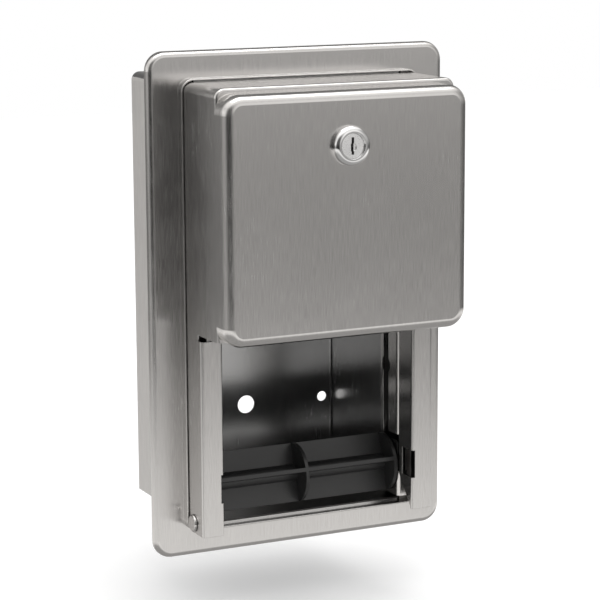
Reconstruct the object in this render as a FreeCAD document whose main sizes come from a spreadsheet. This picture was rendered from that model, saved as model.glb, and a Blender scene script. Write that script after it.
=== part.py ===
import FreeCAD, Part
import math
import operator
import os
import Sketcher

# Recessed holder for two toilet rolls, in millimetres.
# The wall's face is the plane Y = 0, the room is towards -Y, +Z is up and X = 0 is the middle.

SIZES = [
    # Wall flange and the collar round its opening
    ("flange_width", 205),
    ("flange_height", 320),
    ("flange_rise", 5),
    ("flange_corner", 12),
    ("flange_edge", 3.5),
    ("flange_sheet", 1.2),
    ("flange_side_border", 19.9),
    ("flange_top_border", 16.7),
    ("flange_bottom_border", 17),
    ("opening_corner", 8),
    ("collar_rise", 6),
    ("collar_sheet", 1),
    ("collar_edge", 0.4),
    # Cabinet in the wall
    ("cabinet_side_inset", 9.3),
    ("cabinet_top_inset", 3.2),
    ("cabinet_bottom_inset", 2),
    ("cabinet_depth", 97),
    ("cabinet_corner", 2.5),
    ("cabinet_shoulder", 5.5),
    ("cabinet_sheet", 1),
    ("panel_lip", 9),
    ("ring_margin", 9),
    ("ring_corner", 10),
    ("ring_sheet", 1.2),
    ("wall_hole_side_inset", 8.3),
    ("wall_hole_top_inset", 48.4),
    ("wall_hole_bottom_inset", 49.3),
    ("wall_hole_size", 7),
    ("access_hole_across", 7),
    ("access_hole_rise", 49.5),
    ("access_hole_size", 12.5),
    # Door frame: hood and arms
    ("door_sheet", 1.2),
    ("door_side_gap", 0.4),
    ("door_top_gap", 0.9),
    ("door_bottom_gap", 1),
    ("door_entry", 4),
    ("hood_front", 59),
    ("hood_height", 153.9),
    ("hood_shoulder", 6),
    ("hood_bend", 1.8),
    ("hood_border", 14),
    ("arm_front", 33),
    ("arm_face", 14.7),
    ("arm_bend", 2.2),
    ("arm_return", 18.2),
    ("arm_relief_height", 4),
    ("arm_relief_depth", 5),
    ("heel_corner", 5),
    ("window_height", 18.2),
    ("window_depth", 13.5),
    ("window_bite", 2.2),
    # Front pan
    ("pan_depth", 16),
    ("pan_overhang", 1.2),
    ("pan_drop", 3.2),
    ("pan_corner", 12),
    ("pan_edge", 6),
    ("pan_rear_bend", 1),
    ("pan_lip", 9),
    ("pan_sheet", 1.2),
    # Door pivots
    ("pivot_front", 18.1),
    ("pivot_rise", 6.2),
    ("rivet_size", 5),
    ("rivet_head", 11),
    ("rivet_head_rise", 1.4),
    ("rivet_head_round", 0.9),
    ("rivet_tail", 8),
    ("rivet_tail_rise", 1.6),
    ("running_gap", 0.05),
    ("face_gap", 0.3),
    ("lug_sheet", 1.2),
    ("lug_height", 10),
    ("lug_reach", 7),
    ("lug_corner", 4),
    ("lug_foot", 4.8),
    ("washer_size", 10),
    ("washer_sheet", 0.9),
    # Guides
    ("guide_sheet", 1.2),
    ("guide_gap", 1.5),
    ("guide_width", 27.3),
    ("guide_front_bend", 3),
    ("guide_rear_bend", 4.5),
    ("guide_top_gap", 15.1),
    ("guide_floor_gap", 3),
    ("slot_setback", 16.8),
    ("slot_gap", 0.3),
    ("slot_top_gap", 13),
    ("keyhole_rise", 68.8),
    ("keyhole_size", 11.4),
    ("notch_rise", 16.9),
    ("notch_height", 24.6),
    ("retainer_sheet", 0.8),
    ("retainer_height", 36.5),
    ("retainer_width", 10),
    ("retainer_corner", 2),
    ("catch_height", 32),
    ("catch_width", 8),
    ("catch_tongue", 5),
    # Spindles
    ("axle_size", 6.5),
    ("axle_end_gap", 0.8),
    ("axle_chamfer", 0.8),
    ("spindle_size", 38),
    ("spindle_end_gap", 1.2),
    ("spindle_rib", 2.6),
    ("spindle_hub", 11),
    ("spindle_disc", 2.2),
    ("spindle_bore_gap", 0.08),
    ("lower_turn", 72),
    ("upper_turn", 24),
    ("reserve_gap", 95),
    # Lock
    ("lock_drop", 33.2),
    ("barrel_size", 19),
    ("barrel_wall", 1.9),
    ("barrel_length", 23.5),
    ("barrel_hole_gap", 0.1),
    ("bezel_size", 24.5),
    ("bezel_rise", 5.3),
    ("bezel_round", 3.4),
    ("bezel_lip", 0.8),
    ("bezel_mouth", 16),
    ("plug_gap", 0.08),
    ("plug_setback", 0.5),
    ("tail_size", 8),
    ("tail_length", 5.4),
    ("key_width", 1.7),
    ("key_height", 10.5),
    ("key_depth", 12),
    ("key_dish", 5.2),
    ("key_dish_drop", 0.8),
    ("key_dish_depth", 0.9),
    ("nut_flats", 24),
    ("nut_height", 4),
    ("cam_length", 22),
    ("cam_width", 14),
    ("cam_heel_corner", 5.6),
    ("cam_tip_corner", 2),
    ("cam_sheet", 1.6),
    ("screw_size", 3),
    ("screw_head", 7.5),
    ("screw_head_rise", 2),
    ("screw_head_round", 1.2),
    ("screw_depth", 8),
    ("keeper_sheet", 1.2),
    ("keeper_width", 20),
    ("keeper_gap", 1.4),
    ("keeper_lip_gap", 5.3),
    ("keeper_run", 3.3),
    ("keeper_foot", 26),
    ("keeper_step", 4),
    ("keeper_rivet_size", 3.2),
    ("keeper_rivet_head", 6),
    ("keeper_rivet_head_rise", 1.2),
    ("keeper_rivet_head_round", 0.8),
    ("keeper_rivet_spacing", 12),
]

PLANES = {"front": "XZ_Plane", "side": "YZ_Plane", "level": "XY_Plane"}
NEAR = 1e-4  # values this close count as the same


class Size:
    """A formula on the sheet together with its present value."""

    def __init__(self, formula, value):
        self.formula = formula
        self.value = value

    def __add__(self, other):
        return combine(self, "+", other)

    def __sub__(self, other):
        return combine(self, "-", other)

    def __mul__(self, other):
        return combine(self, "*", other)

    def __truediv__(self, other):
        return combine(self, "/", other)

    def __neg__(self):
        return combine(as_size(0), "-", self)

    def __pos__(self):
        return self


def as_size(item):
    if isinstance(item, Size):
        return item
    return Size(repr(float(item)), float(item))


SIDES = {"left": operator.neg, "right": operator.pos}
SIGNS = {"+": operator.add, "-": operator.sub, "*": operator.mul, "/": operator.truediv}


def combine(first, sign, second):
    first, second = as_size(first), as_size(second)
    value = SIGNS[sign](first.value, second.value)
    return Size(f"({first.formula} {sign} {second.formula})", value)


doc = FreeCAD.newDocument("roll_holder")
sheet = doc.addObject("Spreadsheet::Sheet", "Sizes")
for row, (alias, number) in enumerate(SIZES, start=1):
    sheet.set(f"A{row}", alias)
    sheet.set(f"B{row}", str(number))
    sheet.setAlias(f"B{row}", alias)
doc.recompute()


def size(alias):
    return Size(f"Sizes.{alias}", float(getattr(sheet, alias)))


# Building steps shared by the sub-parts

nodes = []


def new_body(label):
    body = doc.addObject("PartDesign::Body", label)
    body.Label = label
    nodes.append(body)
    return body


def new_sketch(body, plane, lift=0):
    """An empty sketch on one of the body's planes, lifted along the plane's normal."""
    support = [f for f in body.Origin.OriginFeatures if f.Role == PLANES[plane]][0]
    sketch = body.newObject("Sketcher::SketchObject", f"{body.Name}_outline")
    sketch.AttachmentSupport = (support, [""])
    sketch.MapMode = "FlatFace"
    sketch.setExpression("AttachmentOffset.Base.z", as_size(lift).formula)
    return sketch


def hold(sketch, kind, *where_and_size):
    """Adds a constraint whose last entry is a size, and ties it to the sheet."""
    *where, length = where_and_size
    length = as_size(length)
    index = sketch.addConstraint(Sketcher.Constraint(kind, *where, length.value))
    sketch.setExpression(f"Constraints[{index}]", length.formula)


def add_loop(sketch, points):
    """A closed run of straight lines through points, each a pair of sizes."""
    points = [(as_size(across), as_size(up)) for across, up in points]
    spots = [FreeCAD.Vector(across.value, up.value, 0) for across, up in points]
    first = sketch.GeometryCount
    count = len(points)
    for i in range(count):
        sketch.addGeometry(Part.LineSegment(spots[i], spots[(i + 1) % count]), False)
    for i in range(count):
        sketch.addConstraint(Sketcher.Constraint("Coincident", first + i, 2, first + (i + 1) % count, 1))
    for i, (across, up) in enumerate(points):
        hold(sketch, "DistanceX", first + i, 1, across)
        hold(sketch, "DistanceY", first + i, 1, up)


def add_box(sketch, left, right, bottom, top):
    add_loop(sketch, [(left, bottom), (right, bottom), (right, top), (left, top)])


def add_circle(sketch, across, up, diameter):
    across, up, radius = as_size(across), as_size(up), as_size(diameter) / 2
    centre = FreeCAD.Vector(across.value, up.value, 0)
    index = sketch.addGeometry(Part.Circle(centre, FreeCAD.Vector(0, 0, 1), radius.value), False)
    hold(sketch, "DistanceX", index, 3, across)
    hold(sketch, "DistanceY", index, 3, up)
    hold(sketch, "Radius", index, radius)


def extrude(body, kind, sketch, length, symmetric):
    feature = body.newObject(f"PartDesign::{kind}", f"{body.Name}_{kind}")
    feature.Profile = sketch
    feature.setExpression("Length", as_size(length).formula)
    feature.SideType = "Symmetric" if symmetric else "One side"
    return feature


def add(body, sketch, length, symmetric=False):
    """Adds material along the sketch's normal, or half to each side of it."""
    extrude(body, "Pad", sketch, length, symmetric)
    doc.recompute()


def cut(body, sketch, length, symmetric=False):
    """Cuts along the sketch's normal, or half to each side of it, and stops if nothing came away."""
    before = body.Shape.Volume
    feature = extrude(body, "Pocket", sketch, length, symmetric)
    feature.Reversed = not symmetric
    doc.recompute()
    if before - body.Shape.Volume < NEAR:
        raise RuntimeError(f"{feature.Name} cut nothing")


def spin(body, sketch, axis):
    """Turns a sketch round one of its own axes into a full solid."""
    feature = body.newObject("PartDesign::Revolution", f"{body.Name}_turned")
    feature.Profile = sketch
    feature.ReferenceAxis = (sketch, [axis])
    feature.Angle = 360
    doc.recompute()


def dress(body, kind, property_name, edges, amount):
    if not edges:
        raise RuntimeError(f"{body.Name} has no edges to {kind}")
    base = body.Tip
    feature = body.newObject(f"PartDesign::{kind}", f"{body.Name}_{kind}")
    feature.Base = (base, edges)
    feature.setExpression(property_name, as_size(amount).formula)
    doc.recompute()


def round_edges(body, edges, radius):
    dress(body, "Fillet", "Radius", edges, radius)


def chamfer_edges(body, edges, width):
    dress(body, "Chamfer", "Size", edges, width)


def lies_at(span, place):
    """Whether a span between two coordinates is at a place, or at one of several places."""
    choices = place if isinstance(place, list) else [place]
    return any(all(abs(end - choice.value) < NEAR for end in span) for choice in choices)


def find_edges(body, **places):
    """Names of the edges that lie wholly at the given places, such as y=size or x=[size, size]."""
    names = []
    for number, edge in enumerate(body.Shape.Edges, start=1):
        box = edge.BoundBox
        spans = {"x": (box.XMin, box.XMax), "y": (box.YMin, box.YMax), "z": (box.ZMin, box.ZMax)}
        if all(lies_at(spans[axis], place) for axis, place in places.items()):
            names.append(f"Edge{number}")
    return names


def both(distance):
    """A distance to the left and to the right of the middle."""
    return [-as_size(distance), as_size(distance)]


def round_hood(body, half, face, top, shoulder, bend):
    """Rounds a box's two upper edges, then the rim of the face where they end."""
    round_edges(body, find_edges(body, x=both(half), z=top), shoulder)
    round_edges(body, find_edges(body, y=face, z=top), bend)


# Places that several pieces share

spill = as_size(2)  # how far a cutting outline runs past the metal

flange_front = -size("flange_rise")
flange_back = flange_front + size("flange_sheet")
ring_back = flange_back + size("ring_sheet")
collar_front = flange_front - size("collar_rise")

flange_half = size("flange_width") / 2
flange_top = size("flange_height") / 2
opening_half = flange_half - size("flange_side_border")
opening_top = flange_top - size("flange_top_border")
opening_bottom = size("flange_bottom_border") - flange_top
right_across = size("flange_width")
mouth_half = opening_half - size("collar_sheet")
mouth_top = opening_top - size("collar_sheet")
mouth_bottom = opening_bottom + size("collar_sheet")

cabinet_half = opening_half - size("cabinet_side_inset")
cabinet_inner = cabinet_half - size("cabinet_sheet")
cabinet_top = opening_top - size("cabinet_top_inset")
cabinet_seam = cabinet_top - size("panel_lip")
cabinet_bottom = opening_bottom + size("cabinet_bottom_inset")
cabinet_back = size("cabinet_depth")
cabinet_back_inner = cabinet_back - size("cabinet_sheet")

door_half = mouth_half - size("door_side_gap")
door_inner = door_half - size("door_sheet")
door_top = mouth_top - size("door_top_gap")
door_bottom = mouth_bottom + size("door_bottom_gap")
door_rear = collar_front + size("door_entry")
hood_front = -size("hood_front")
hood_bottom = door_top - size("hood_height")
arm_front = -size("arm_front")
arm_inner = door_half - size("arm_face")
arm_return_rear = arm_front + size("arm_return")

pivot_y = -size("pivot_front")
pivot_z = door_bottom + size("pivot_rise")

guide_inner = arm_inner
guide_outer = guide_inner + size("guide_sheet")
guide_front = arm_return_rear + size("guide_gap")
guide_rear = guide_front + size("guide_width")
guide_bottom = cabinet_bottom + size("cabinet_sheet") + size("guide_floor_gap")
guide_top = cabinet_top - size("guide_top_gap")
slot_y = guide_front + size("slot_setback")
slot_width = size("axle_size") + size("slot_gap") * 2
notch_bottom = guide_bottom + size("notch_rise")
notch_top = notch_bottom + size("notch_height")
lower_z = notch_bottom + size("axle_size") / 2 + size("slot_gap")
upper_z = guide_top - size("reserve_gap")

pan_front = hood_front - size("pan_depth")
pan_half = door_half + size("pan_overhang")
pan_top = door_top - size("pan_drop")
pan_bottom = hood_bottom - size("pan_overhang")
lock_z = pan_top - size("lock_drop")
barrel_front = pan_front - size("bezel_rise") + size("bezel_lip")
barrel_rear = barrel_front + size("barrel_length")
cam_front = barrel_rear + size("tail_length") - size("cam_sheet")
keeper_lip_back = cam_front - size("keeper_gap")
keeper_top = door_top - size("door_sheet") - size("keeper_run")


# Wall flange: pillowed plate with a rolled edge, hollow behind, and a raised collar

def make_wall_flange():
    body = new_body("wall_flange")
    plate = new_sketch(body, "front")
    add_box(plate, -flange_half, flange_half, -flange_top, flange_top)
    add(body, plate, size("flange_rise"))
    inner_half = flange_half - size("flange_sheet")
    inner_top = flange_top - size("flange_sheet")
    hollow = new_sketch(body, "front")
    add_box(hollow, -inner_half, inner_half, -inner_top, inner_top)
    cut(body, hollow, size("flange_rise") - size("flange_sheet"))
    corners = find_edges(body, x=both(inner_half), z=both(inner_top))
    round_edges(body, corners, size("flange_corner") - size("flange_sheet"))
    round_edges(body, find_edges(body, y=flange_back), size("flange_edge") - size("flange_sheet"))
    round_edges(body, find_edges(body, x=both(flange_half), z=both(flange_top)), size("flange_corner"))
    round_edges(body, find_edges(body, y=flange_front), size("flange_edge"))

    collar = new_sketch(body, "front", -flange_back)
    add_box(collar, -opening_half, opening_half, opening_bottom, opening_top)
    add(body, collar, size("collar_rise") + size("flange_sheet"))
    mouth = new_sketch(body, "front", -flange_back - spill)
    add_box(mouth, -mouth_half, mouth_half, mouth_bottom, mouth_top)
    cut(body, mouth, size("collar_rise") + size("flange_sheet") + spill * 2)
    corners = find_edges(body, x=both(mouth_half), z=[mouth_bottom, mouth_top])
    round_edges(body, corners, size("opening_corner") - size("collar_sheet"))
    corners = find_edges(body, x=both(opening_half), z=[opening_bottom, opening_top])
    round_edges(body, corners, size("opening_corner"))
    round_edges(body, find_edges(body, y=collar_front), size("collar_edge"))


# Plate ring that joins the cabinet to the back of the flange

def make_mounting_ring():
    body = new_body("mounting_ring")
    half_width = opening_half + size("ring_margin")
    low = opening_bottom - size("ring_margin")
    high = opening_top + size("ring_margin")
    plate = new_sketch(body, "front", -ring_back)
    add_box(plate, -half_width, half_width, low, high)
    add(body, plate, size("ring_sheet"))
    round_edges(body, find_edges(body, x=both(half_width), z=[low, high]), size("ring_corner"))
    hole = new_sketch(body, "front", -ring_back - spill)
    add_box(hole, -cabinet_half, cabinet_half, cabinet_bottom, cabinet_top)
    cut(body, hole, size("ring_sheet") + spill * 2)
    shoulders = find_edges(body, x=both(cabinet_half), z=cabinet_top)
    round_edges(body, shoulders, size("cabinet_shoulder"))


# Cabinet: bent back and sides, a cap with rounded shoulders on them and a floor between them

def make_cabinet_shell():
    body = new_body("cabinet_shell")
    wall_front = guide_front + size("guide_sheet")
    wrap = new_sketch(body, "level", cabinet_bottom)
    add_loop(wrap, [
        (-cabinet_half, wall_front),
        (-cabinet_half, cabinet_back),
        (cabinet_half, cabinet_back),
        (cabinet_half, wall_front),
        (cabinet_inner, wall_front),
        (cabinet_inner, cabinet_back_inner),
        (-cabinet_inner, cabinet_back_inner),
        (-cabinet_inner, wall_front),
    ])
    add(body, wrap, cabinet_seam - cabinet_bottom)
    round_edges(body, find_edges(body, x=both(cabinet_half), y=cabinet_back), size("cabinet_corner"))
    inner_bend = size("cabinet_corner") - size("cabinet_sheet")
    round_edges(body, find_edges(body, x=both(cabinet_inner), y=cabinet_back_inner), inner_bend)
    ends = new_sketch(body, "side")
    add_box(ends, wall_front - spill, flange_back, guide_top, cabinet_top + spill)
    add_box(ends, wall_front - spill, flange_back, cabinet_bottom - spill, guide_bottom)
    cut(body, ends, right_across, symmetric=True)

    holes = new_sketch(body, "front", -cabinet_back - spill)
    for across in both(cabinet_half - size("wall_hole_side_inset")):
        add_circle(holes, across, cabinet_top - size("wall_hole_top_inset"), size("wall_hole_size"))
        add_circle(holes, across, cabinet_bottom + size("wall_hole_bottom_inset"), size("wall_hole_size"))
    access_z = cabinet_bottom + size("access_hole_rise")
    add_circle(holes, size("access_hole_across"), access_z, size("access_hole_size"))
    cut(body, holes, size("cabinet_sheet") + spill * 2)


def make_cabinet_top():
    body = new_body("cabinet_top")
    wall = size("cabinet_sheet")
    ceiling = cabinet_top - wall
    block = new_sketch(body, "front", -cabinet_back)
    add_box(block, -cabinet_half, cabinet_half, cabinet_seam, cabinet_top)
    add(body, block, cabinet_back - flange_back)
    hollow = new_sketch(body, "front", -cabinet_back_inner)
    add_box(hollow, -cabinet_inner, cabinet_inner, cabinet_seam - spill, ceiling)
    cut(body, hollow, cabinet_back_inner - flange_back + spill)
    shoulder, bend = size("cabinet_shoulder"), size("cabinet_corner")
    round_hood(body, cabinet_inner, cabinet_back_inner, ceiling, shoulder - wall, bend - wall)
    round_hood(body, cabinet_half, cabinet_back, cabinet_top, shoulder, bend)


def make_cabinet_floor():
    body = new_body("cabinet_floor")
    wall = size("cabinet_sheet")
    lip_front = cabinet_back_inner - wall
    lip_end = cabinet_bottom + size("panel_lip")
    profile = new_sketch(body, "side")
    add_loop(profile, [
        (flange_back, cabinet_bottom),
        (cabinet_back_inner, cabinet_bottom),
        (cabinet_back_inner, lip_end),
        (lip_front, lip_end),
        (lip_front, cabinet_bottom + wall),
        (flange_back, cabinet_bottom + wall),
    ])
    add(body, profile, cabinet_inner * 2, symmetric=True)
    corners = find_edges(body, x=both(cabinet_inner), y=cabinet_back_inner)
    round_edges(body, corners, size("cabinet_corner") - wall)


# Guide channels: slot with a keyhole for the axle's end, and a notch through the front

def make_guide(label, side):
    body = new_body(label)
    channel = new_sketch(body, "level", guide_bottom)
    near, web, far = side(guide_inner), side(guide_outer), side(cabinet_inner)
    front_far = side(cabinet_half)
    add_loop(channel, [
        (near, guide_front),
        (front_far, guide_front),
        (front_far, guide_front + size("guide_sheet")),
        (web, guide_front + size("guide_sheet")),
        (web, guide_rear - size("guide_sheet")),
        (far, guide_rear - size("guide_sheet")),
        (far, guide_rear),
        (near, guide_rear),
    ])
    add(body, channel, guide_top - guide_bottom)
    for place, back, bend in (
        (guide_front, guide_front + size("guide_sheet"), size("guide_front_bend")),
        (guide_rear, guide_rear - size("guide_sheet"), size("guide_rear_bend")),
    ):
        round_edges(body, find_edges(body, x=near, y=place), bend)
        round_edges(body, find_edges(body, x=web, y=back), bend - size("guide_sheet"))

    slot = new_sketch(body, "side")
    half_slot = slot_width / 2
    add_box(slot, slot_y - half_slot, slot_y + half_slot, notch_bottom, guide_top - size("slot_top_gap"))
    cut(body, slot, right_across, symmetric=True)
    keyhole = new_sketch(body, "side")
    add_circle(keyhole, slot_y, notch_bottom + size("keyhole_rise"), size("keyhole_size"))
    cut(body, keyhole, right_across, symmetric=True)
    notch = new_sketch(body, "side")
    add_box(notch, guide_front - spill, slot_y, notch_bottom, notch_top)
    cut(body, notch, right_across, symmetric=True)


# Leaf springs behind the guides: one stands across the notch, one carries the reserve axle

leaf_middle = guide_outer + size("retainer_sheet") / 2


def make_retainer(label, side):
    body = new_body(label)
    rear = slot_y - slot_width / 2 - size("face_gap")
    front = rear - size("retainer_width")
    top = guide_bottom + size("retainer_height")
    leaf = new_sketch(body, "side", side(leaf_middle))
    add_box(leaf, front, rear, guide_bottom, top)
    add(body, leaf, size("retainer_sheet"), symmetric=True)
    round_edges(body, find_edges(body, y=[front, rear], z=top), size("retainer_corner"))


def make_catch(label, side):
    body = new_body(label)
    rest = upper_z - size("axle_size") / 2 - size("face_gap")
    rear = slot_y - slot_width / 2 - size("face_gap")
    front = rear - size("catch_width")
    tip = slot_y + slot_width / 2 - size("face_gap")
    leaf = new_sketch(body, "side", side(leaf_middle))
    add_loop(leaf, [
        (front, rest - size("catch_tongue")),
        (tip, rest - size("catch_tongue")),
        (tip, rest),
        (rear, rest),
        (rear, rest + size("catch_height")),
        (front, rest + size("catch_height")),
    ])
    add(body, leaf, size("retainer_sheet"), symmetric=True)
    corners = find_edges(body, y=[front, rear], z=rest + size("catch_height"))
    round_edges(body, corners, size("retainer_corner"))


# Spindles: cross-ribbed mouldings with discs, each on an axle

def place_on_axis(body, height, turn=None):
    """Moves a piece that was drawn round the X axis to the slots' middle at a height, and turns it."""
    body.setExpression("Placement.Base.y", slot_y.formula)
    body.setExpression("Placement.Base.z", height.formula)
    if turn is not None:
        body.Placement.Rotation = FreeCAD.Rotation(FreeCAD.Vector(1, 0, 0), turn.value)
        body.setExpression("Placement.Rotation.Angle", turn.formula)
    doc.recompute()


def make_axle(label, height):
    body = new_body(label)
    half_length = cabinet_inner - size("axle_end_gap")
    rod = new_sketch(body, "side")
    add_circle(rod, 0, 0, size("axle_size"))
    add(body, rod, half_length * 2, symmetric=True)
    chamfer_edges(body, find_edges(body, x=both(half_length)), size("axle_chamfer"))
    place_on_axis(body, height)


def make_spindle(label, height, turn):
    body = new_body(label)
    half_length = guide_inner - size("spindle_end_gap")
    radius = size("spindle_size") / 2
    half_rib = size("spindle_rib") / 2
    hub = new_sketch(body, "side")
    add_circle(hub, 0, 0, size("spindle_hub"))
    add(body, hub, half_length * 2, symmetric=True)
    for wide, tall in ((half_rib, radius), (radius, half_rib)):
        rib = new_sketch(body, "side")
        add_box(rib, -wide, wide, -tall, tall)
        add(body, rib, half_length * 2, symmetric=True)
    for start in (-half_length, -size("spindle_disc") / 2, half_length - size("spindle_disc")):
        disc = new_sketch(body, "side", start)
        add_circle(disc, 0, 0, size("spindle_size"))
        add(body, disc, size("spindle_disc"))
    bore = new_sketch(body, "side")
    add_circle(bore, 0, 0, size("axle_size") + size("spindle_bore_gap") * 2)
    cut(body, bore, right_across, symmetric=True)
    place_on_axis(body, height, turn)


# Door frame: hood open below and behind, with a channel arm down each side

def make_door_frame():
    body = new_body("door_frame")
    wall = size("door_sheet")
    profile = new_sketch(body, "side")
    relief_y = arm_front + size("arm_relief_depth")
    arm_top = hood_bottom - size("arm_relief_height")
    add_loop(profile, [
        (door_rear, door_top),
        (hood_front, door_top),
        (hood_front, hood_bottom),
        (relief_y, hood_bottom),
        (relief_y, arm_top),
        (arm_front, arm_top),
        (arm_front, door_bottom),
        (door_rear, door_bottom),
    ])
    add(body, profile, door_half * 2, symmetric=True)
    inside = new_sketch(body, "side")
    add_box(inside, hood_front + wall, door_rear + spill, hood_bottom, door_top - wall)
    cut(body, inside, door_inner * 2, symmetric=True)
    shoulder, bend = size("hood_shoulder"), size("hood_bend")
    round_hood(body, door_inner, hood_front + wall, door_top - wall, shoulder - wall, bend - wall)
    round_hood(body, door_half, hood_front, door_top, shoulder, bend)
    round_edges(body, find_edges(body, x=both(door_half), y=arm_front), size("arm_bend"))

    gap = new_sketch(body, "side")
    add_box(gap, arm_front - spill, door_rear + spill, door_bottom - spill, hood_bottom)
    cut(body, gap, arm_inner * 2, symmetric=True)
    round_edges(body, find_edges(body, x=both(arm_inner), y=arm_front), size("arm_bend"))
    channels = new_sketch(body, "level", door_bottom - spill)
    for side in SIDES.values():
        add_box(channels, side(arm_inner + wall), side(door_inner), arm_front + wall, door_rear + spill)
    cut(body, channels, hood_bottom - door_bottom + spill)
    bends = find_edges(body, x=both(arm_inner + wall) + both(door_inner), y=arm_front + wall)
    round_edges(body, bends, size("arm_bend") - wall)

    returns = new_sketch(body, "side")
    add_loop(returns, [
        (arm_return_rear, hood_bottom),
        (arm_return_rear, notch_bottom),
        (arm_front + size("arm_bend"), door_bottom + size("door_bottom_gap")),
        (arm_front + size("arm_bend"), door_bottom - spill),
        (door_rear + spill, door_bottom - spill),
        (door_rear + spill, hood_bottom),
    ])
    cut(body, returns, (arm_inner + wall) * 2, symmetric=True)
    window = new_sketch(body, "side")
    window_top = notch_bottom + size("window_height")
    add_box(window, arm_front - spill, arm_front + size("window_depth"), notch_bottom, window_top)
    cut(body, window, (arm_inner + size("window_bite")) * 2, symmetric=True)

    heel = new_sketch(body, "side")
    heel_rear = collar_front - size("face_gap")
    add_box(heel, heel_rear, door_rear + spill, door_bottom - spill, pivot_z)
    cut(body, heel, right_across, symmetric=True)
    round_edges(body, find_edges(body, y=heel_rear, z=door_bottom), size("heel_corner"))

    front = new_sketch(body, "front", -hood_front - wall - spill)
    border = size("hood_border")
    add_box(front, -(door_half - border), door_half - border, hood_bottom + border, door_top - border)
    cut(body, front, wall + spill * 2)
    pivots = new_sketch(body, "side")
    add_circle(pivots, pivot_y, pivot_z, size("rivet_size") + size("running_gap") * 2)
    cut(body, pivots, right_across, symmetric=True)


# Front pan: one drawn sheet with rounded edges and its rim turned in against the hood

def make_door_pan():
    body = new_body("door_pan")
    wall = size("pan_sheet")
    block = new_sketch(body, "front", -hood_front)
    add_box(block, -pan_half, pan_half, pan_bottom, pan_top)
    add(body, block, size("pan_depth"))
    low, high, half = pan_bottom + wall, pan_top - wall, pan_half - wall
    hollow = new_sketch(body, "front", -hood_front + wall)
    add_box(hollow, -half, half, low, high)
    cut(body, hollow, size("pan_depth") - wall * 2)
    round_edges(body, find_edges(body, x=both(half), z=[low, high]), size("pan_corner") - wall)
    round_edges(body, find_edges(body, y=pan_front + wall), size("pan_edge") - wall)
    corners = find_edges(body, x=both(pan_half), z=[pan_bottom, pan_top])
    round_edges(body, corners, size("pan_corner"))
    round_edges(body, find_edges(body, y=pan_front), size("pan_edge"))
    round_edges(body, find_edges(body, y=hood_front), size("pan_rear_bend"))

    lip = size("pan_lip")
    rim = new_sketch(body, "front", -hood_front - spill)
    add_box(rim, -(pan_half - lip), pan_half - lip, pan_bottom + lip, pan_top - lip)
    cut(body, rim, wall + spill * 2)
    lock_hole = new_sketch(body, "front", -pan_front - wall - spill)
    add_circle(lock_hole, 0, lock_z, size("barrel_size") + size("barrel_hole_gap") * 2)
    cut(body, lock_hole, wall + spill * 2)


# Door pivots: lugs on the ring, washers and rivets

def make_hinge_lug(label, side):
    body = new_body(label)
    outer = door_inner - size("face_gap") - size("washer_sheet")
    inner = outer - size("lug_sheet")
    top = pivot_z + size("lug_height") / 2
    low = pivot_z - size("lug_height") / 2
    tip = pivot_y - size("lug_reach")
    plan = new_sketch(body, "level", low)
    add_loop(plan, [
        (side(outer), flange_back),
        (side(outer), tip),
        (side(inner), tip),
        (side(inner), flange_back - size("lug_sheet")),
        (side(outer - size("lug_foot")), flange_back - size("lug_sheet")),
        (side(outer - size("lug_foot")), flange_back),
    ])
    add(body, plan, size("lug_height"))
    round_edges(body, find_edges(body, y=tip, z=[low, top]), size("lug_corner"))
    hole = new_sketch(body, "side")
    add_circle(hole, pivot_y, pivot_z, size("rivet_size"))
    cut(body, hole, right_across, symmetric=True)


def join_as_node(label, pieces):
    """Makes one node of several like pieces."""
    group = doc.addObject("Part::Compound", label)
    group.Label = label
    group.Links = pieces
    nodes.append(group)
    doc.recompute()


def pivot_pair(label, outline):
    """Two mirrored pieces turned at the door's pivots from one outline of (distance out, radius) points."""
    pieces = []
    for word, side in SIDES.items():
        body = doc.addObject("PartDesign::Body", f"{label}_{word}")
        sketch = new_sketch(body, "level")
        add_loop(sketch, [(side(out), radius) for out, radius in outline])
        spin(body, sketch, "H_Axis")
        pieces.append(body)
    return pieces


def place_at_pivots(label, pieces):
    for body in pieces:
        body.setExpression("Placement.Base.y", pivot_y.formula)
        body.setExpression("Placement.Base.z", pivot_z.formula)
    join_as_node(label, pieces)


def make_hinge_rivets():
    shank = size("rivet_size") / 2
    lug_face = door_inner - size("face_gap") - size("washer_sheet") - size("lug_sheet")
    tail_end = lug_face - size("rivet_tail_rise")
    head_face = door_half + size("face_gap")
    head_end = head_face + size("rivet_head_rise")
    head = size("rivet_head") / 2
    rivets = pivot_pair("hinge_rivets", [
        (tail_end, 0),
        (tail_end, size("rivet_tail") / 2),
        (lug_face, size("rivet_tail") / 2),
        (lug_face, shank),
        (head_face, shank),
        (head_face, head),
        (head_end, head),
        (head_end, 0),
    ])
    for rivet in rivets:
        round_edges(rivet, find_edges(rivet, x=both(head_end)), size("rivet_head_round"))
    place_at_pivots("hinge_rivets", rivets)


def make_hinge_washers():
    outer = door_inner - size("face_gap")
    inner = outer - size("washer_sheet")
    bore = size("rivet_size") / 2 + size("running_gap")
    rim = size("washer_size") / 2
    washers = pivot_pair("hinge_washers", [(inner, bore), (outer, bore), (outer, rim), (inner, rim)])
    place_at_pivots("hinge_washers", washers)


# Lock: trim ring, barrel and nut on the pan, and a plug that turns with its cam

def place_on_lock(body):
    """Moves a piece that was drawn round the Y axis to the lock's height."""
    body.setExpression("Placement.Base.z", lock_z.formula)
    doc.recompute()


def make_turned_lock_piece(label, outline):
    """A piece turned round the lock's axis from (radius, Y) points."""
    body = new_body(label)
    sketch = new_sketch(body, "level")
    add_loop(sketch, outline)
    spin(body, sketch, "V_Axis")
    place_on_lock(body)
    return body


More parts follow.
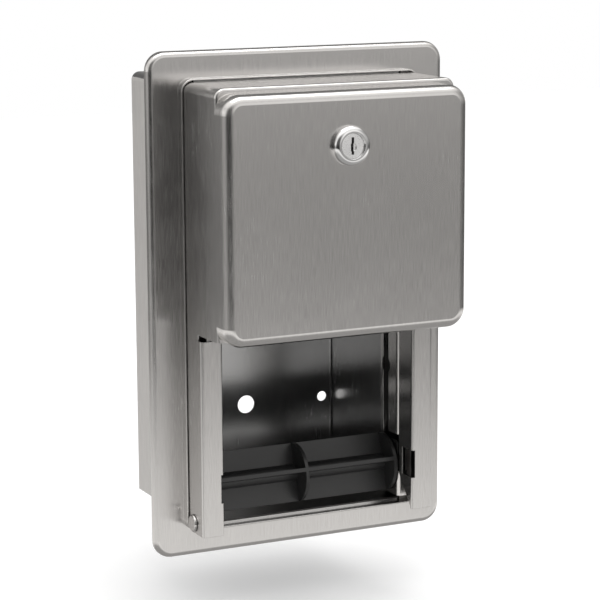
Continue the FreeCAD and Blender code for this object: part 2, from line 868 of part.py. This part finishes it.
def make_lock_bezel():
    barrel = size("barrel_size") / 2
    base = size("bezel_size") / 2
    mouth = size("bezel_mouth") / 2
    front = pan_front - size("bezel_rise")
    body = make_turned_lock_piece("lock_bezel", [
        (barrel, pan_front),
        (base, pan_front),
        (base, front),
        (mouth, front),
        (mouth, barrel_front),
        (barrel, barrel_front),
    ])
    rims = find_edges(body, y=front)
    outermost = max(rims, key=lambda name: body.Shape.getElement(name).Length)
    round_edges(body, [outermost], size("bezel_round"))


def make_lock_barrel():
    outer = size("barrel_size") / 2
    inner = outer - size("barrel_wall")
    make_turned_lock_piece("lock_barrel", [
        (inner, barrel_front),
        (outer, barrel_front),
        (outer, barrel_rear),
        (inner, barrel_rear),
    ])


def make_lock_nut():
    body = new_body("lock_nut")
    nut_front = pan_front + size("pan_sheet")
    hexagon = new_sketch(body, "front", -nut_front - size("nut_height"))
    half_flats = size("nut_flats") / 2
    corner = half_flats / math.cos(math.radians(30))
    add_loop(hexagon, [
        (-half_flats, -corner / 2),
        (0, -corner),
        (half_flats, -corner / 2),
        (half_flats, corner / 2),
        (0, corner),
        (-half_flats, corner / 2),
    ])
    add(body, hexagon, size("nut_height"))
    bore = new_sketch(body, "front", -nut_front - size("nut_height") - spill)
    add_circle(bore, 0, 0, size("barrel_size"))
    cut(body, bore, size("nut_height") + spill * 2)
    place_on_lock(body)


def make_lock_plug():
    radius = size("barrel_size") / 2 - size("barrel_wall") - size("plug_gap")
    tail = size("tail_size") / 2
    face = barrel_front + size("plug_setback")
    tail_end = cam_front + size("cam_sheet")
    body = make_turned_lock_piece("lock_plug", [
        (0, face),
        (radius, face),
        (radius, barrel_rear),
        (tail, barrel_rear),
        (tail, tail_end),
        (0, tail_end),
    ])
    keyway = new_sketch(body, "front", -face - size("key_depth"))
    half_key = size("key_height") / 2
    add_box(keyway, -size("key_width") / 2, size("key_width") / 2, -half_key, half_key)
    cut(body, keyway, size("key_depth") + spill)
    dish = new_sketch(body, "front", -face - size("key_dish_depth"))
    add_circle(dish, 0, -size("key_dish_drop"), size("key_dish"))
    cut(body, dish, size("key_dish_depth") + spill)
    thread = new_sketch(body, "front", -tail_end - spill)
    add_circle(thread, 0, 0, size("screw_size"))
    cut(body, thread, size("screw_depth") + spill)


def make_lock_cam():
    body = new_body("lock_cam")
    plate = new_sketch(body, "front", -cam_front - size("cam_sheet"))
    half_width = size("cam_width") / 2
    add_box(plate, -half_width, size("cam_length"), -half_width, half_width)
    add(body, plate, size("cam_sheet"))
    corners = find_edges(body, x=-half_width, z=both(half_width))
    round_edges(body, corners, size("cam_heel_corner"))
    corners = find_edges(body, x=size("cam_length"), z=both(half_width))
    round_edges(body, corners, size("cam_tip_corner"))
    hole = new_sketch(body, "front", -cam_front - size("cam_sheet") - spill)
    add_circle(hole, 0, 0, size("tail_size"))
    cut(body, hole, size("cam_sheet") + spill * 2)
    place_on_lock(body)


def make_cam_screw():
    seat = cam_front + size("cam_sheet")
    shank = size("screw_size") / 2
    head = size("screw_head") / 2
    head_end = seat + size("screw_head_rise")
    body = make_turned_lock_piece("cam_screw", [
        (0, seat - size("screw_depth")),
        (shank, seat - size("screw_depth")),
        (shank, seat),
        (head, seat),
        (head, head_end),
        (0, head_end),
    ])
    round_edges(body, find_edges(body, y=head_end), size("screw_head_round"))


# Keeper: a strip under the cabinet's top that reaches forward over the lock's cam

def make_lock_keeper():
    body = new_body("lock_keeper")
    wall = size("keeper_sheet")
    seat = cabinet_top - size("cabinet_sheet")
    lip_front = keeper_lip_back - wall
    lip_end = lock_z + size("cam_width") / 2 + size("keeper_lip_gap")
    foot_end = flange_back + size("keeper_foot")
    step = size("keeper_step")
    profile = new_sketch(body, "side")
    add_loop(profile, [
        (foot_end, seat),
        (flange_back, seat),
        (flange_back - step, keeper_top),
        (lip_front, keeper_top),
        (lip_front, lip_end),
        (keeper_lip_back, lip_end),
        (keeper_lip_back, keeper_top - wall),
        (flange_back - step, keeper_top - wall),
        (flange_back, seat - wall),
        (foot_end, seat - wall),
    ])
    add(body, profile, size("keeper_width"), symmetric=True)


def make_keeper_rivets():
    seat = cabinet_top - size("cabinet_sheet")
    shank = size("keeper_rivet_size") / 2
    head = size("keeper_rivet_head") / 2
    rise = size("keeper_rivet_head_rise")
    low = seat - size("keeper_sheet")
    middle = flange_back + size("keeper_foot") / 2
    pieces = []
    for name, along in zip(("front", "rear"), both(size("keeper_rivet_spacing") / 2)):
        body = doc.addObject("PartDesign::Body", f"keeper_rivet_{name}")
        sketch = new_sketch(body, "front")
        add_loop(sketch, [
            (0, low - rise),
            (head, low - rise),
            (head, low),
            (shank, low),
            (shank, cabinet_top),
            (head, cabinet_top),
            (head, cabinet_top + rise),
            (0, cabinet_top + rise),
        ])
        spin(body, sketch, "V_Axis")
        round_edges(body, find_edges(body, z=cabinet_top + rise), size("keeper_rivet_head_round"))
        body.setExpression("Placement.Base.y", (middle + along).formula)
        pieces.append(body)
    join_as_node("keeper_rivets", pieces)


def drill_for_keeper(body):
    """Rivet holes through a panel or strip at the keeper's foot."""
    middle = flange_back + size("keeper_foot") / 2
    holes = new_sketch(body, "level", cabinet_top - size("cabinet_sheet") - size("keeper_sheet") - spill)
    for along in both(size("keeper_rivet_spacing") / 2):
        add_circle(holes, 0, middle + along, size("keeper_rivet_size"))
    cut(body, holes, size("cabinet_sheet") + size("keeper_sheet") + spill * 2)


make_wall_flange()
make_mounting_ring()
make_cabinet_shell()
make_cabinet_top()
drill_for_keeper(nodes[-1])
make_cabinet_floor()
for word, side in SIDES.items():
    make_guide(f"guide_{word}", side)
    make_retainer(f"spindle_retainer_{word}", side)
    make_catch(f"reserve_catch_{word}", side)
    make_hinge_lug(f"hinge_lug_{word}", side)
make_hinge_washers()
make_hinge_rivets()
make_lock_keeper()
drill_for_keeper(nodes[-1])
make_keeper_rivets()
make_door_frame()
make_door_pan()
make_lock_bezel()
make_lock_barrel()
make_lock_nut()
make_lock_plug()
make_lock_cam()
make_cam_screw()
make_axle("lower_axle", lower_z)
make_axle("upper_axle", upper_z)
make_spindle("lower_spindle", lower_z, size("lower_turn"))
make_spindle("upper_spindle", upper_z, size("upper_turn"))

doc.recompute()
for item in doc.Objects:
    if "Invalid" in item.State or "Error" in item.State:
        raise RuntimeError(f"{item.Name} failed: {item.State}")
for node in nodes:
    if node.Shape.isNull() or not node.Shape.isValid():
        raise RuntimeError(f"{node.Label} has no valid shape")

os.makedirs("parts", exist_ok=True)
for node in nodes:
    node.Shape.exportStep(os.path.join("parts", f"{node.Label}.step"))
    print(f"{node.Label}: {len(node.Shape.Solids)} solids, volume {node.Shape.Volume:.1f}")
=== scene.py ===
import math

import bpy
from mathutils import Matrix, Vector

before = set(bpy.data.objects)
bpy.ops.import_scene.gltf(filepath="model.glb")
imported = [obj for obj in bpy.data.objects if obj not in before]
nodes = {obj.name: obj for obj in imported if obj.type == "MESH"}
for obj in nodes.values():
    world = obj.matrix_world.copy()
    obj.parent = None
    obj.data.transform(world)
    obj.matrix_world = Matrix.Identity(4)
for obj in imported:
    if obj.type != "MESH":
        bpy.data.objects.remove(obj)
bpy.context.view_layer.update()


# Small helpers for shader trees

class Tree:
    """A node tree that is built by name, one line per node."""

    def __init__(self, tree):
        self.tree = tree
        tree.nodes.clear()

    def node(self, kind, **settings):
        made = self.tree.nodes.new(kind)
        for key, value in settings.items():
            setattr(made, key, value)
        return made

    def link(self, source, target):
        self.tree.links.new(source, target)

    def feed(self, node, index, value):
        """Sets an input of a node from a socket or a plain value."""
        if isinstance(value, bpy.types.NodeSocket):
            self.link(value, node.inputs[index])
        else:
            node.inputs[index].default_value = value

    def math(self, operation, first, second=0.0):
        made = self.node("ShaderNodeMath", operation=operation)
        self.feed(made, 0, first)
        self.feed(made, 1, second)
        return made.outputs[0]

    def remap(self, value, low, high, to_low, to_high, smooth=True):
        kind = "SMOOTHSTEP" if smooth else "LINEAR"
        made = self.node("ShaderNodeMapRange", interpolation_type=kind)
        for index, item in enumerate((value, low, high, to_low, to_high)):
            self.feed(made, index, item)
        return made.outputs[0]

    def mix(self, factor, first, second):
        """Blends two colours, each a socket or a tuple."""
        made = self.node("ShaderNodeMix", data_type="RGBA")
        self.feed(made, 0, factor)
        # The node has sockets for every data type, and these are the ones for colour
        self.feed(made, 6, first)
        self.feed(made, 7, second)
        return made.outputs[2]

    def noise(self, where, scale, detail=3.0, rough=0.55):
        made = self.node("ShaderNodeTexNoise")
        self.link(where, made.inputs["Vector"])
        made.inputs["Scale"].default_value = scale
        made.inputs["Detail"].default_value = detail
        made.inputs["Roughness"].default_value = rough
        return made.outputs["Fac"]

    def stretched(self, where, scale):
        made = self.node("ShaderNodeMapping")
        self.link(where, made.inputs["Vector"])
        made.inputs["Scale"].default_value = scale
        return made.outputs["Vector"]

    def place(self):
        return self.node("ShaderNodeTexCoord").outputs["Object"]

    def split(self, vector):
        """The X, Y and Z of a vector socket."""
        parts = self.node("ShaderNodeSeparateXYZ")
        self.link(vector, parts.inputs[0])
        return list(parts.outputs)


def new_material(name):
    material = bpy.data.materials.new(name)
    material.use_nodes = True
    tree = Tree(material.node_tree)
    shader = tree.node("ShaderNodeBsdfPrincipled")
    output = tree.node("ShaderNodeOutputMaterial")
    tree.link(shader.outputs[0], output.inputs[0])
    return material, tree, shader


def grey(level, warmth=0.0):
    return (level * (1 + warmth), level, level * (1 - warmth), 1.0)


BUMP_DISTANCE = 0.0002
LEVEL_NORMAL = 0.7  # a face counts as level when its normal rises more than this


def add_relief(tree, shader, height, depth, edge):
    """Bump from a height socket, over edges that are softened by a radius."""
    soft_edge = tree.node("ShaderNodeBevel", samples=4)
    soft_edge.inputs["Radius"].default_value = edge
    bump = tree.node("ShaderNodeBump")
    bump.inputs["Strength"].default_value = depth
    bump.inputs["Distance"].default_value = BUMP_DISTANCE
    tree.link(height, bump.inputs["Height"])
    tree.link(soft_edge.outputs[0], bump.inputs["Normal"])
    tree.link(bump.outputs[0], shader.inputs["Normal"])


def across_grain(tree):
    """The direction across an upright grain, which runs from front to back on level faces."""
    normal = tree.node("ShaderNodeTexCoord").outputs["Normal"]
    rise = tree.math("ABSOLUTE", tree.split(normal)[2])
    level_face = tree.math("GREATER_THAN", rise, LEVEL_NORMAL)
    grain = tree.node("ShaderNodeCombineXYZ")
    tree.link(level_face, grain.inputs[1])
    tree.link(tree.math("SUBTRACT", 1.0, level_face), grain.inputs[2])
    side = tree.node("ShaderNodeVectorMath", operation="CROSS_PRODUCT")
    tree.link(normal, side.inputs[0])
    tree.link(grain.outputs[0], side.inputs[1])
    turned = tree.node("ShaderNodeVectorTransform", vector_type="VECTOR")
    turned.convert_from, turned.convert_to = "OBJECT", "WORLD"
    tree.link(side.outputs[0], turned.inputs[0])
    return turned.outputs[0]


# Faces inside a hollow get a tone found by where they lie in the piece: painted shade, nearly black, in the
# door's arm channels and behind the guides, and a smoother finish of its own inside the cabinet
# The sizes are in metres and repeat those of the part's source

FAR = 1.0  # past any face of the part
CABINET_SHEET = 0.001
DOOR_SHEET = 0.0012
ARM_FACE = 0.0147
ARM_SETBACK = 0.026
HOOD_HEIGHT = 0.1539


def piece_box(name):
    """Lowest and highest corner of a piece in its own coordinates."""
    corners = list(nodes[name].bound_box)
    low = [min(places) for places in zip(*corners)]
    high = [max(places) for places in zip(*corners)]
    return low, high


def cabinet_hollow():
    """The inner faces of the cabinet's back and sides."""
    high = piece_box("cabinet_shell")[1]
    half_sheet = CABINET_SHEET / 2
    return (-FAR, -FAR, -FAR), (high[0] - half_sheet, high[1] - half_sheet, FAR)


def guide_painted_shade():
    """The cabinet's walls behind the guides, where shade is painted nearly black."""
    high = piece_box("cabinet_shell")[1]
    guide_rear = piece_box("guide_left")[1][1]
    wall = high[0] - CABINET_SHEET
    return (wall - CABINET_SHEET, -FAR, -FAR), (wall + CABINET_SHEET / 2, guide_rear, FAR)


def arm_painted_shade():
    """The inner faces of the door's two channel arms, below the hood, where shade is painted nearly black.
    """
    low, high = piece_box("door_frame")
    half_sheet = DOOR_SHEET / 2
    inner = high[0] - ARM_FACE + half_sheet
    front = low[1] + ARM_SETBACK + half_sheet
    return (inner, front, -FAR), (high[0] - half_sheet, FAR, high[2] - HOOD_HEIGHT)


def within(tree, where, low, high):
    """1 inside a box of limits for the distance from the middle, for Y and for Z, and 0 outside it."""
    across, deep, tall = tree.split(where)
    inside = 1.0
    for place, least, most in zip((tree.math("ABSOLUTE", across), deep, tall), low, high):
        inside = tree.math("MULTIPLY", inside, tree.math("GREATER_THAN", place, least))
        inside = tree.math("MULTIPLY", inside, tree.math("LESS_THAN", place, most))
    return inside


# Brushed steel: fine grain along one axis, with faint smudges and softened edges

UPRIGHT = (2000.0, 2000.0, 90.0)
ALONG = (90.0, 2000.0, 2000.0)
STEEL_WARMTH = 0.02
STEEL_EDGE = 0.0004


def brushed_steel(name, level, rough, grain=UPRIGHT, grain_depth=0.02, stretch=0.7, hollows=()):
    """Each hollow is a box, with the level and the roughness of the faces inside it; a nearly black level
    there is painted shade.

    A hollow lies inside the one before it, so its roughness is set against that one's.
    """
    material, tree, shader = new_material(name)
    where = tree.place()
    streaks = tree.noise(tree.stretched(where, grain), 1.0, detail=4.0, rough=0.6)
    smudges = tree.noise(where, 22.0)
    tone = tree.remap(streaks, 0.25, 0.75, 0.0, 1.0)
    colour = tree.mix(tone, grey(level * 0.93, STEEL_WARMTH), grey(level * 1.07, STEEL_WARMTH))
    grain_rough = tree.remap(streaks, 0.2, 0.8, rough - 0.04, rough + 0.05)
    roughness = tree.math("ADD", grain_rough, tree.remap(smudges, 0.35, 0.75, -0.015, 0.03))
    for box, inner_level, inner_rough in hollows:
        inside = within(tree, where, *box)
        inner_colour = tree.mix(tone, grey(inner_level * 0.97), grey(inner_level * 1.03))
        colour = tree.mix(inside, colour, inner_colour)
        roughness = tree.math("ADD", tree.math("MULTIPLY", inside, inner_rough - rough), roughness)
        rough = inner_rough
    tree.link(colour, shader.inputs["Base Color"])
    tree.link(roughness, shader.inputs["Roughness"])
    shader.inputs["Metallic"].default_value = 1.0
    shader.inputs["Anisotropic"].default_value = stretch
    tree.link(across_grain(tree), shader.inputs["Tangent"])
    add_relief(tree, shader, streaks, grain_depth, STEEL_EDGE)
    return material


def plain_finish(name, level, rough, metallic, speckle, depth, edge=0.0003, warmth=0.0):
    """A finish with fine speckle: plastic, plated or blackened metal."""
    material, tree, shader = new_material(name)
    where = tree.place()
    grain = tree.noise(where, speckle, detail=4.0)
    cloud = tree.remap(tree.noise(where, 30.0, detail=2.0), 0.3, 0.7, 0.0, 1.0)
    colour = tree.mix(cloud, grey(level * 0.9, warmth), grey(level * 1.12, warmth))
    tree.link(colour, shader.inputs["Base Color"])
    tree.link(tree.remap(grain, 0.25, 0.75, rough - 0.05, rough + 0.06), shader.inputs["Roughness"])
    shader.inputs["Metallic"].default_value = metallic
    add_relief(tree, shader, grain, depth, edge)
    return material


satin = brushed_steel("satin_steel", 0.60, 0.21, grain_depth=0.03, stretch=0.85)
# Painted shade: the faces inside the door's arm channels are nearly black
door = brushed_steel(
    "door_steel", 0.60, 0.21, grain_depth=0.03, stretch=0.85, hollows=[(arm_painted_shade(), 0.05, 0.45)])
# The cabinet's inside is a smoother, slightly darker finish of its own; its walls behind the guides are
# nearly black, a painted shade
cabinet = brushed_steel(
    "cabinet_steel", 0.70, 0.50, grain_depth=0.006, stretch=0.3,
    hollows=[(cabinet_hollow(), 0.58, 0.22), (guide_painted_shade(), 0.03, 0.50)])
guide = brushed_steel("guide_steel", 0.80, 0.22)
# Painted shade: the cabinet floor inside the unit is nearly black steel
painted_shade_floor = brushed_steel("floor_steel", 0.08, 0.34, stretch=0.3)
bar = brushed_steel("axle_steel", 0.55, 0.25, grain=ALONG)
chrome = plain_finish("lock_chrome", 0.70, 0.07, 1.0, 1500.0, 0.003, edge=0.0002)
plug = plain_finish("plug_face", 0.78, 0.30, 1.0, 1500.0, 0.004, edge=0.0002)
zinc = plain_finish("lock_zinc", 0.50, 0.34, 1.0, 700.0, 0.03, warmth=0.02)
leaf = plain_finish("spring_leaf", 0.06, 0.38, 0.7, 600.0, 0.03)
plastic = plain_finish("spindle_plastic", 0.018, 0.36, 0.0, 1500.0, 0.06, edge=0.0004)

LOOKS = [
    (satin, ["wall_flange", "door_pan", "hinge_rivets"]),
    (door, ["door_frame"]),
    (cabinet, ["mounting_ring", "cabinet_shell", "cabinet_top"]),
    (painted_shade_floor, ["cabinet_floor"]),
    (guide, ["guide_left", "guide_right", "hinge_lug_left", "hinge_lug_right", "lock_keeper"]),
    (leaf, ["spindle_retainer_left", "spindle_retainer_right", "reserve_catch_left", "reserve_catch_right"]),
    (chrome, ["lock_bezel", "lock_barrel"]),
    (plug, ["lock_plug"]),
    (zinc, ["lock_nut", "lock_cam", "cam_screw", "hinge_washers", "keeper_rivets"]),
    (bar, ["lower_axle", "upper_axle"]),
    (plastic, ["lower_spindle", "upper_spindle"]),
]
for look, names in LOOKS:
    for name in names:
        mesh = nodes[name].data
        mesh.materials.clear()
        mesh.materials.append(look)


# Studio: a pale floor below the open door, soft light and a surround that the steel mirrors

FLOOR_HALF = 3.0
FLOOR_HEIGHT = -0.2005
FLOOR_GLOW = 0.16  # lifts the floor towards white for the camera alone


def make_floor():
    mesh = bpy.data.meshes.new("floor")
    turns = ((-1, -1), (1, -1), (1, 1), (-1, 1))
    corners = [(FLOOR_HALF * x, FLOOR_HALF * y, FLOOR_HEIGHT) for x, y in turns]
    mesh.from_pydata(corners, [], [(0, 1, 2, 3)])
    floor = bpy.data.objects.new("floor", mesh)
    bpy.context.scene.collection.objects.link(floor)
    floor.visible_glossy = False
    material, tree, shader = new_material("floor_paint")
    cloud = tree.remap(tree.noise(tree.place(), 6.0), 0.3, 0.7, 0.0, 1.0)
    tree.link(tree.mix(cloud, grey(0.90), grey(0.93)), shader.inputs["Base Color"])
    shader.inputs["Roughness"].default_value = 0.8
    shader.inputs["Specular IOR Level"].default_value = 0.1
    shader.inputs["Emission Color"].default_value = (1.0, 1.0, 1.0, 1.0)
    seen = tree.node("ShaderNodeLightPath").outputs["Is Camera Ray"]
    tree.link(tree.math("MULTIPLY", seen, FLOOR_GLOW), shader.inputs["Emission Strength"])
    mesh.materials.append(material)


# Brightness that the steel mirrors, by degrees above the horizon
SURROUND = [
    (-90, 0.40),
    (-35, 0.45),
    (-20, 1.15),
    (-16.5, 1.05),
    (-13.5, 0.70),
    (-11.5, 0.43),
    (-9, 0.36),
    (-5.5, 0.46),
    (-2, 0.80),
    (6, 1.25),
    (28, 0.95),
    (40, 1.20),
    (55, 1.40),
    (68, 1.20),
    (80, 0.85),
    (90, 0.60),
]
BRIGHTEST = 2.0  # a colour ramp ends at 1, so the levels go into it as shares of this

# Darker sides of the room: direction, cosines of the inner and outer edge, and what is left of the light
SHADES = [
    ((-0.52, -0.85, -0.05), 0.95, 0.66, 0.10),
    ((0.90, 0.42, 0.0), 0.92, 0.60, 0.55),
    ((0.95, -0.30, 0.0), 0.95, 0.72, 0.45),
    ((-0.43, 0.89, -0.10), 0.95, 0.70, 0.55),
    ((0.10, 0.75, 0.66), 0.90, 0.55, 0.20),
]
SHADES_BEGIN, SHADES_FULL = math.radians(-13.8), math.radians(-10.6)
WARMTH = (1.015, 1.0, 0.982)


def shade_toward(tree, way, above, direction, near, far, left):
    """A factor that falls from 1 to what is left, between two cosines towards a direction."""
    toward = tree.node("ShaderNodeVectorMath", operation="DOT_PRODUCT")
    tree.link(way, toward.inputs[0])
    toward.inputs[1].default_value = Vector(direction).normalized()
    shade = tree.remap(toward.outputs["Value"], far, near, 0.0, 1.0 - left)
    return tree.math("SUBTRACT", 1.0, tree.math("MULTIPLY", shade, above))


def make_surround():
    world = bpy.data.worlds.new("studio")
    bpy.context.scene.world = world
    world.use_nodes = True
    tree = Tree(world.node_tree)
    way = tree.node("ShaderNodeTexCoord").outputs["Generated"]
    rise = tree.math("ARCSINE", tree.split(way)[2])
    ramp = tree.node("ShaderNodeValToRGB")
    tree.link(tree.remap(rise, -math.pi / 2, math.pi / 2, 0.0, 1.0, smooth=False), ramp.inputs[0])
    stops = ramp.color_ramp.elements
    for degrees, _ in SURROUND[1:-1]:
        stops.new((degrees + 90) / 180)
    for stop, (degrees, level) in zip(stops, SURROUND):
        stop.position = (degrees + 90) / 180
        stop.color = grey(level / BRIGHTEST)
    light = tree.math("MULTIPLY", ramp.outputs[0], BRIGHTEST)
    above = tree.remap(rise, SHADES_BEGIN, SHADES_FULL, 0.0, 1.0)
    for shade in SHADES:
        light = tree.math("MULTIPLY", light, shade_toward(tree, way, above, *shade))
    colour = tree.node("ShaderNodeCombineXYZ")
    for index, tint in enumerate(WARMTH):
        tree.link(tree.math("MULTIPLY", light, tint), colour.inputs[index])
    mirrored = tree.node("ShaderNodeLightPath").outputs["Is Glossy Ray"]
    background = tree.node("ShaderNodeBackground")
    tree.link(tree.mix(mirrored, (1.0, 1.0, 1.0, 1.0), colour.outputs[0]), background.inputs["Color"])
    output = tree.node("ShaderNodeOutputWorld")
    tree.link(background.outputs[0], output.inputs[0])


def add_light(name, spot, aim, size, watts):
    data = bpy.data.lights.new(name, "AREA")
    data.shape = "RECTANGLE"
    data.size, data.size_y = size
    data.energy = watts
    light = bpy.data.objects.new(name, data)
    light.location = spot
    light.rotation_euler = (Vector(aim) - Vector(spot)).to_track_quat("-Z", "Y").to_euler()
    bpy.context.scene.collection.objects.link(light)


LAMP_SPOT = (0.1, -0.35, 1.5)
LAMP_AIM = (0.0, 0.0, 0.0)
LAMP_SIZE = (1.4, 0.8)
LAMP_WATTS = 9.0

make_floor()
make_surround()
add_light("overhead", LAMP_SPOT, LAMP_AIM, LAMP_SIZE, LAMP_WATTS)


# Camera: from the left and a little above, as in the photograph

CAMERA_SPOT = (-0.6115, -1.2736, 0.2605)
CAMERA_LENS = 134.6
SENSOR_WIDTH = 36.0
NEAREST, FARTHEST = 0.05, 50.0
YAW, PITCH, ROLL = math.radians(25.73), math.radians(-10.53), math.radians(-0.29)


def make_camera():
    data = bpy.data.cameras.new("camera")
    data.sensor_width = SENSOR_WIDTH
    data.lens = CAMERA_LENS
    data.clip_start, data.clip_end = NEAREST, FARTHEST
    camera = bpy.data.objects.new("camera", data)
    bpy.context.scene.collection.objects.link(camera)
    level = math.cos(PITCH)
    ahead = Vector((math.sin(YAW) * level, math.cos(YAW) * level, math.sin(PITCH)))
    turn = ahead.to_track_quat("-Z", "Y").to_matrix() @ Matrix.Rotation(ROLL, 3, "Z")
    camera.matrix_world = Matrix.Translation(CAMERA_SPOT) @ turn.to_4x4()
    bpy.context.scene.camera = camera


make_camera()
bpy.context.scene.view_settings.view_transform = "Standard"
